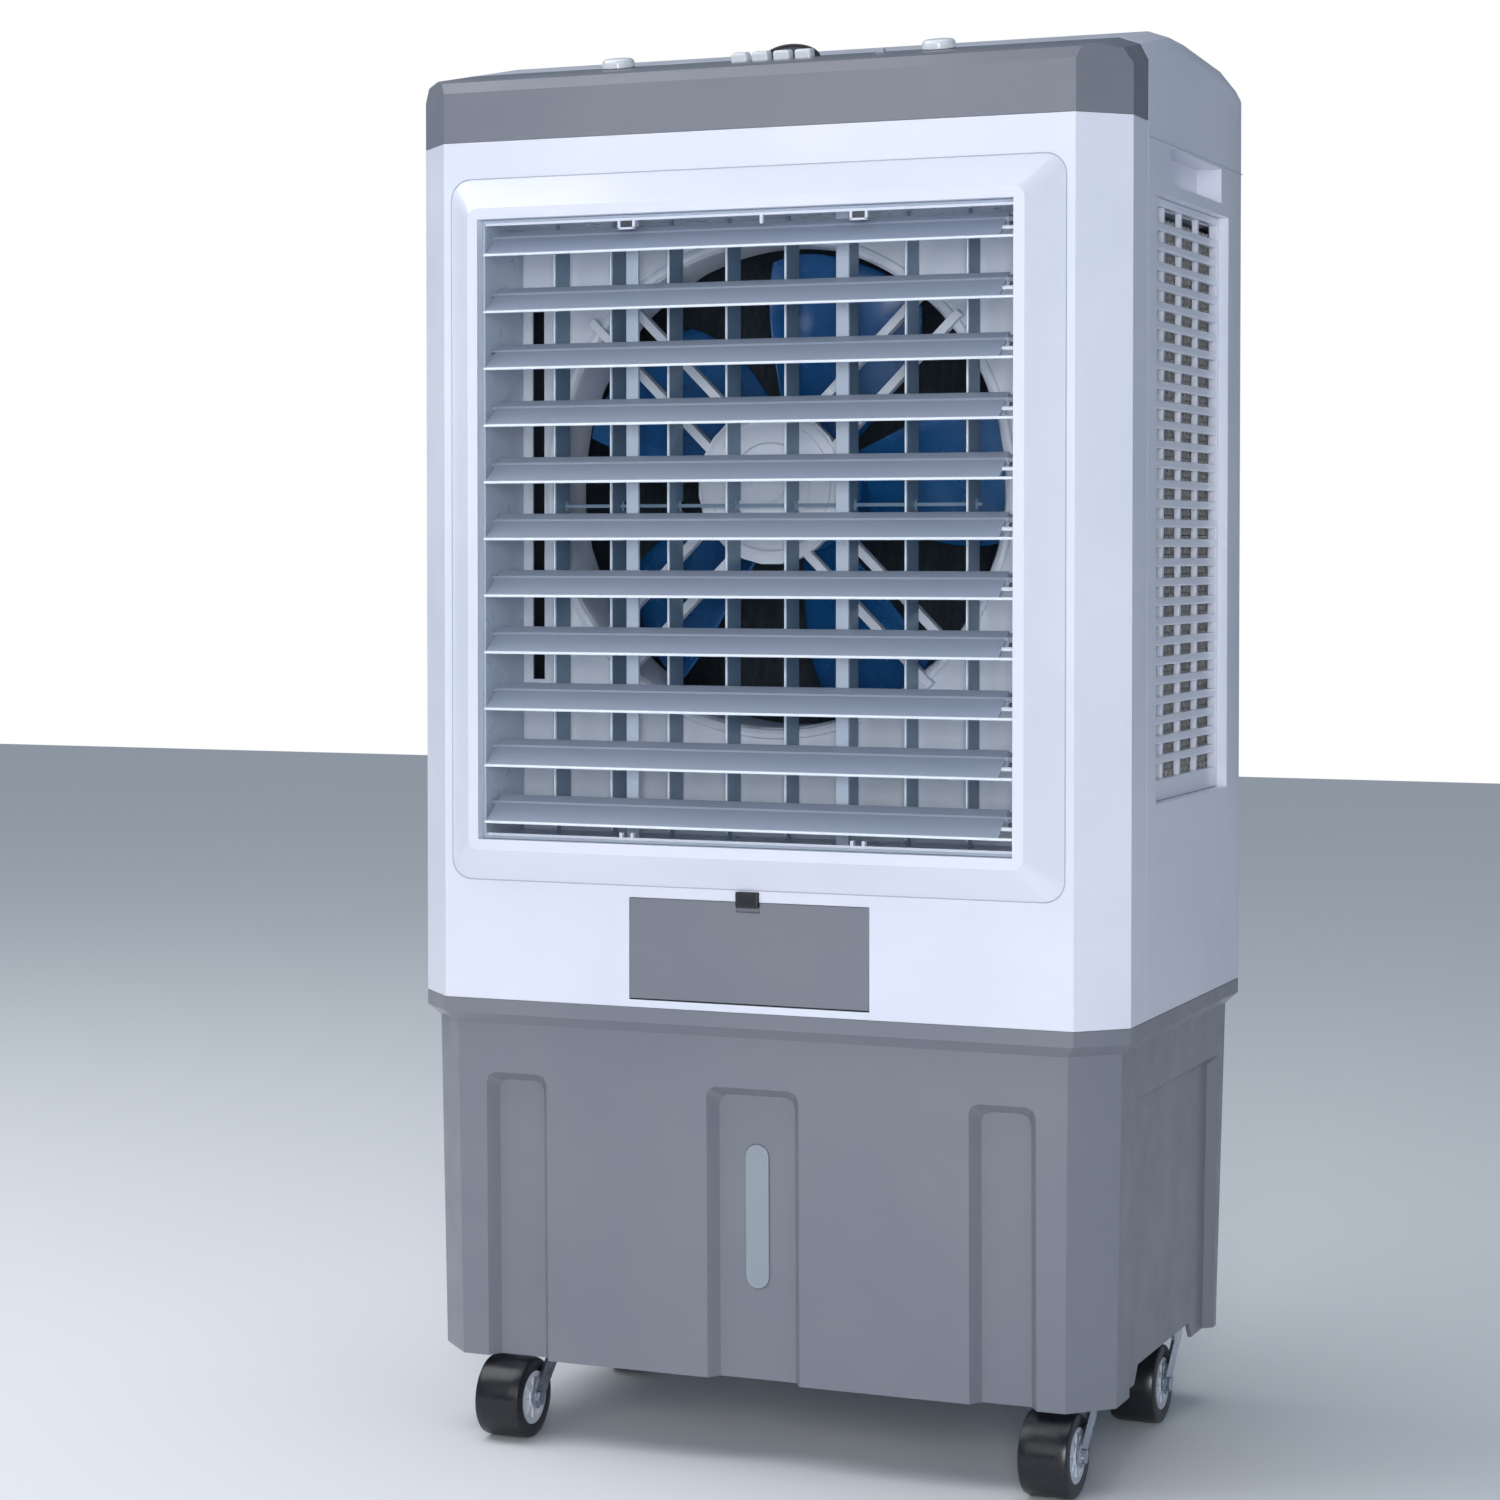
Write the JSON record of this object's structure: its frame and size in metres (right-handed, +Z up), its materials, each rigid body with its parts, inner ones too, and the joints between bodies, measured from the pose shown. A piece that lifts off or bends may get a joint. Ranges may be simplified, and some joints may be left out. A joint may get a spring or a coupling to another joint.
{
  "type": "evaporative cooler",
  "caption": "Mobile evaporative air cooler with swinging louvres and vanes, an axial fan, wetted pads, a grey water tank and swivel casters.",
  "frame": {"origin": "on the floor, under the middle of the body's box", "axes": "+Z up, -Y out of the air outlet, +X to the right when looking at the front from -Y"},
  "size_m": [0.69, 0.486, 1.301],
  "materials": {
    "white_plastic": "satin-gloss moulded plastic",
    "pale_plastic": "smooth moulded plastic",
    "grey_plastic": "satin moulded plastic",
    "louvre_plastic": "satin moulded plastic",
    "fan_plastic": "glossy moulded plastic",
    "motor_metal": "pressed steel can",
    "pad_media": "corrugated cellulose, rough",
    "black_plastic": "matt",
    "window_plastic": "translucent, smooth",
    "control_plastic": "smooth moulded plastic",
    "zinc_steel": "bright zinc plate",
    "wheel_rubber": "smooth black tread"
  },
  "bodies": {
    "housing": {"front_panel": "white_plastic", "rear_housing": "white_plastic", "top_cover": "grey_plastic", "water_tank": "grey_plastic", "level_window": "window_plastic", "fan_shroud": "pale_plastic", "fan_motor": "motor_metal", "louvre_frame": "pale_plastic", "grille_left": "white_plastic", "grille_right": "white_plastic", "grille_rear": "white_plastic", "pad_left": "pad_media", "pad_right": "pad_media", "pad_rear": "pad_media", "water_distributor": "pale_plastic", "pump": "black_plastic", "drain_plug": "grey_plastic", "cord_gland": "black_plastic", "caster_plate_front_left": "zinc_steel", "caster_plate_front_right": "zinc_steel", "caster_plate_rear_left": "zinc_steel", "caster_plate_rear_right": "zinc_steel"},
    "fan": {"fan": "fan_plastic"},
    "louvre_01": {"louvre_01": "louvre_plastic"},
    "louvre_02": {"louvre_02": "louvre_plastic"},
    "louvre_03": {"louvre_03": "louvre_plastic"},
    "louvre_04": {"louvre_04": "louvre_plastic"},
    "louvre_05": {"louvre_05": "louvre_plastic"},
    "louvre_06": {"louvre_06": "louvre_plastic"},
    "louvre_07": {"louvre_07": "louvre_plastic"},
    "louvre_08": {"louvre_08": "louvre_plastic"},
    "louvre_09": {"louvre_09": "louvre_plastic"},
    "louvre_10": {"louvre_10": "louvre_plastic"},
    "louvre_11": {"louvre_11": "louvre_plastic"},
    "louvre_link": {"louvre_link": "pale_plastic"},
    "vane_1": {"vane_1": "pale_plastic"},
    "vane_2": {"vane_2": "pale_plastic"},
    "vane_3": {"vane_3": "pale_plastic"},
    "vane_4": {"vane_4": "pale_plastic"},
    "vane_5": {"vane_5": "pale_plastic"},
    "vane_6": {"vane_6": "pale_plastic"},
    "vane_7": {"vane_7": "pale_plastic"},
    "vane_8": {"vane_8": "pale_plastic"},
    "vane_link": {"vane_link": "pale_plastic"},
    "knob_1": {"knob_1": "control_plastic"},
    "knob_2": {"knob_2": "control_plastic"},
    "button_1": {"button_1": "control_plastic"},
    "button_2": {"button_2": "control_plastic"},
    "button_3": {"button_3": "control_plastic"},
    "button_4": {"button_4": "control_plastic"},
    "fill_door": {"fill_door": "grey_plastic"},
    "door_latch": {"door_latch": "black_plastic"},
    "caster_fork_front_left": {"caster_fork_front_left": "zinc_steel"},
    "caster_wheel_front_left": {"caster_wheel_front_left": "wheel_rubber"},
    "caster_fork_front_right": {"caster_fork_front_right": "zinc_steel"},
    "caster_wheel_front_right": {"caster_wheel_front_right": "wheel_rubber"},
    "caster_fork_rear_left": {"caster_fork_rear_left": "zinc_steel"},
    "caster_wheel_rear_left": {"caster_wheel_rear_left": "wheel_rubber"},
    "caster_fork_rear_right": {"caster_fork_rear_right": "zinc_steel"},
    "caster_wheel_rear_right": {"caster_wheel_rear_right": "wheel_rubber"}
  },
  "joints": [
    {"name": "fan_spin", "type": "hinge", "parent": "housing", "child": "fan", "pos_m": [0, -0.08, 0.89], "axis": [0, -1, 0], "continuous": true},
    {"name": "louvre_01_tilt", "type": "hinge", "parent": "housing", "child": "louvre_01", "pos_m": [0, -0.217, 1.118], "axis": [1, 0, 0], "range_deg": [-60, 35]},
    {"name": "louvre_02_tilt", "type": "hinge", "parent": "housing", "child": "louvre_02", "pos_m": [0, -0.217, 1.066], "axis": [1, 0, 0], "range_deg": [-60, 35]},
    {"name": "louvre_03_tilt", "type": "hinge", "parent": "housing", "child": "louvre_03", "pos_m": [0, -0.217, 1.014], "axis": [1, 0, 0], "range_deg": [-60, 35]},
    {"name": "louvre_04_tilt", "type": "hinge", "parent": "housing", "child": "louvre_04", "pos_m": [0, -0.217, 0.962], "axis": [1, 0, 0], "range_deg": [-60, 35]},
    {"name": "louvre_05_tilt", "type": "hinge", "parent": "housing", "child": "louvre_05", "pos_m": [0, -0.217, 0.91], "axis": [1, 0, 0], "range_deg": [-60, 35]},
    {"name": "louvre_06_tilt", "type": "hinge", "parent": "housing", "child": "louvre_06", "pos_m": [0, -0.217, 0.858], "axis": [1, 0, 0], "range_deg": [-60, 35]},
    {"name": "louvre_07_tilt", "type": "hinge", "parent": "housing", "child": "louvre_07", "pos_m": [0, -0.217, 0.806], "axis": [1, 0, 0], "range_deg": [-60, 35]},
    {"name": "louvre_08_tilt", "type": "hinge", "parent": "housing", "child": "louvre_08", "pos_m": [0, -0.217, 0.754], "axis": [1, 0, 0], "range_deg": [-60, 35]},
    {"name": "louvre_09_tilt", "type": "hinge", "parent": "housing", "child": "louvre_09", "pos_m": [0, -0.217, 0.702], "axis": [1, 0, 0], "range_deg": [-60, 35]},
    {"name": "louvre_10_tilt", "type": "hinge", "parent": "housing", "child": "louvre_10", "pos_m": [0, -0.217, 0.65], "axis": [1, 0, 0], "range_deg": [-60, 35]},
    {"name": "louvre_11_tilt", "type": "hinge", "parent": "housing", "child": "louvre_11", "pos_m": [0, -0.217, 0.598], "axis": [1, 0, 0], "range_deg": [-60, 35]},
    {"name": "louvre_link_pivot", "type": "hinge", "parent": "louvre_01", "child": "louvre_link", "pos_m": [0, -0.20626, 1.12038], "axis": [1, 0, 0], "range_deg": [-35, 60]},
    {"name": "vane_1_swing", "type": "hinge", "parent": "housing", "child": "vane_1", "pos_m": [-0.2009, -0.1895, 0.85], "axis": [0, 0, 1], "range_deg": [-35, 35]},
    {"name": "vane_2_swing", "type": "hinge", "parent": "housing", "child": "vane_2", "pos_m": [-0.1435, -0.1895, 0.85], "axis": [0, 0, 1], "range_deg": [-35, 35]},
    {"name": "vane_3_swing", "type": "hinge", "parent": "housing", "child": "vane_3", "pos_m": [-0.0861, -0.1895, 0.85], "axis": [0, 0, 1], "range_deg": [-35, 35]},
    {"name": "vane_4_swing", "type": "hinge", "parent": "housing", "child": "vane_4", "pos_m": [-0.0287, -0.1895, 0.85], "axis": [0, 0, 1], "range_deg": [-35, 35]},
    {"name": "vane_5_swing", "type": "hinge", "parent": "housing", "child": "vane_5", "pos_m": [0.0287, -0.1895, 0.85], "axis": [0, 0, 1], "range_deg": [-35, 35]},
    {"name": "vane_6_swing", "type": "hinge", "parent": "housing", "child": "vane_6", "pos_m": [0.0861, -0.1895, 0.85], "axis": [0, 0, 1], "range_deg": [-35, 35]},
    {"name": "vane_7_swing", "type": "hinge", "parent": "housing", "child": "vane_7", "pos_m": [0.1435, -0.1895, 0.85], "axis": [0, 0, 1], "range_deg": [-35, 35]},
    {"name": "vane_8_swing", "type": "hinge", "parent": "housing", "child": "vane_8", "pos_m": [0.2009, -0.1895, 0.85], "axis": [0, 0, 1], "range_deg": [-35, 35]},
    {"name": "vane_link_pivot", "type": "hinge", "parent": "vane_1", "child": "vane_link", "pos_m": [-0.2009, -0.171, 0.872], "axis": [0, 0, 1], "range_deg": [-35, 35]},
    {"name": "knob_1_turn", "type": "hinge", "parent": "housing", "child": "knob_1", "pos_m": [-0.154, -0.157, 1.27714], "axis": [0, -0.195, 0.9808], "range_deg": [-135, 135]},
    {"name": "knob_2_turn", "type": "hinge", "parent": "housing", "child": "knob_2", "pos_m": [0.16, -0.157, 1.27714], "axis": [0, -0.195, 0.9808], "range_deg": [-135, 135]},
    {"name": "button_1_press", "type": "slide", "parent": "housing", "child": "button_1", "axis": [0, 0.195, -0.9808], "range_m": [0, 0.003], "stiffness_N_per_m": 300, "springref_m": -0.001},
    {"name": "button_2_press", "type": "slide", "parent": "housing", "child": "button_2", "axis": [0, 0.195, -0.9808], "range_m": [0, 0.003], "stiffness_N_per_m": 300, "springref_m": -0.001},
    {"name": "button_3_press", "type": "slide", "parent": "housing", "child": "button_3", "axis": [0, 0.195, -0.9808], "range_m": [0, 0.003], "stiffness_N_per_m": 300, "springref_m": -0.001},
    {"name": "button_4_press", "type": "slide", "parent": "housing", "child": "button_4", "axis": [0, 0.195, -0.9808], "range_m": [0, 0.003], "stiffness_N_per_m": 300, "springref_m": -0.001},
    {"name": "fill_door_hinge", "type": "hinge", "parent": "housing", "child": "fill_door", "pos_m": [0, -0.215, 0.425], "axis": [1, 0, 0], "range_deg": [0, 85]},
    {"name": "door_latch_press", "type": "slide", "parent": "fill_door", "child": "door_latch", "axis": [0, 0, -1], "range_m": [0, 0.003], "stiffness_N_per_m": 300, "springref_m": -0.001},
    {"name": "swivel_front_left", "type": "hinge", "parent": "housing", "child": "caster_fork_front_left", "pos_m": [-0.252, -0.146, 0.09], "axis": [0, 0, 1], "continuous": true},
    {"name": "wheel_spin_front_left", "type": "hinge", "parent": "caster_fork_front_left", "child": "caster_wheel_front_left", "pos_m": [-0.252, -0.184, 0.0375], "axis": [1, 0, 0], "continuous": true},
    {"name": "swivel_front_right", "type": "hinge", "parent": "housing", "child": "caster_fork_front_right", "pos_m": [0.278, -0.146, 0.09], "axis": [0, 0, 1], "continuous": true},
    {"name": "wheel_spin_front_right", "type": "hinge", "parent": "caster_fork_front_right", "child": "caster_wheel_front_right", "pos_m": [0.278, -0.184, 0.0375], "axis": [1, 0, 0], "continuous": true},
    {"name": "swivel_rear_left", "type": "hinge", "parent": "housing", "child": "caster_fork_rear_left", "pos_m": [-0.252, 0.13, 0.09], "axis": [0, 0, 1], "continuous": true},
    {"name": "wheel_spin_rear_left", "type": "hinge", "parent": "caster_fork_rear_left", "child": "caster_wheel_rear_left", "pos_m": [-0.252, 0.092, 0.0375], "axis": [1, 0, 0], "continuous": true},
    {"name": "swivel_rear_right", "type": "hinge", "parent": "housing", "child": "caster_fork_rear_right", "pos_m": [0.278, 0.13, 0.09], "axis": [0, 0, 1], "continuous": true},
    {"name": "wheel_spin_rear_right", "type": "hinge", "parent": "caster_fork_rear_right", "child": "caster_wheel_rear_right", "pos_m": [0.278, 0.092, 0.0375], "axis": [1, 0, 0], "continuous": true}
  ],
  "couplings": [
    {"joint": "louvre_02_tilt", "follows": "louvre_01_tilt", "ratio": 1},
    {"joint": "louvre_03_tilt", "follows": "louvre_01_tilt", "ratio": 1},
    {"joint": "louvre_04_tilt", "follows": "louvre_01_tilt", "ratio": 1},
    {"joint": "louvre_05_tilt", "follows": "louvre_01_tilt", "ratio": 1},
    {"joint": "louvre_06_tilt", "follows": "louvre_01_tilt", "ratio": 1},
    {"joint": "louvre_07_tilt", "follows": "louvre_01_tilt", "ratio": 1},
    {"joint": "louvre_08_tilt", "follows": "louvre_01_tilt", "ratio": 1},
    {"joint": "louvre_09_tilt", "follows": "louvre_01_tilt", "ratio": 1},
    {"joint": "louvre_10_tilt", "follows": "louvre_01_tilt", "ratio": 1},
    {"joint": "louvre_11_tilt", "follows": "louvre_01_tilt", "ratio": 1},
    {"joint": "louvre_link_pivot", "follows": "louvre_01_tilt", "ratio": -1},
    {"joint": "vane_2_swing", "follows": "vane_1_swing", "ratio": 1},
    {"joint": "vane_3_swing", "follows": "vane_1_swing", "ratio": 1},
    {"joint": "vane_4_swing", "follows": "vane_1_swing", "ratio": 1},
    {"joint": "vane_5_swing", "follows": "vane_1_swing", "ratio": 1},
    {"joint": "vane_6_swing", "follows": "vane_1_swing", "ratio": 1},
    {"joint": "vane_7_swing", "follows": "vane_1_swing", "ratio": 1},
    {"joint": "vane_8_swing", "follows": "vane_1_swing", "ratio": 1},
    {"joint": "vane_link_pivot", "follows": "vane_1_swing", "ratio": -1}
  ]
}
